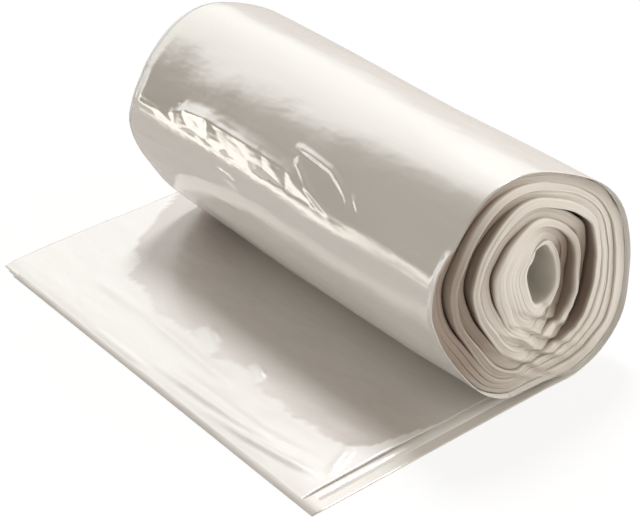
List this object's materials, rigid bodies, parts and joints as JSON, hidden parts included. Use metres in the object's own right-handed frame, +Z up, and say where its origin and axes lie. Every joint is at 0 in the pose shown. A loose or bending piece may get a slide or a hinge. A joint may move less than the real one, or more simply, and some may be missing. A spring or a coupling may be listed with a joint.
{
  "type": "bin bag roll",
  "caption": "Coreless roll of thin milky bin bags, wound as one folded web with an open eye, resting on its flattened side with a tail drawn out flat in front.",
  "frame": {"origin": "on the surface that the roll rests on, under the middle of the wound roll", "axes": "+X along the roll towards its near end, -Y towards the tail's free edge, +Z up"},
  "size_m": [0.258, 0.1558, 0.0912],
  "materials": {
    "film": "thin milky film with a soft gloss, grey where many plies lie together"
  },
  "bodies": {
    "root": {"bag_roll": "film"}
  },
  "joints": []
}
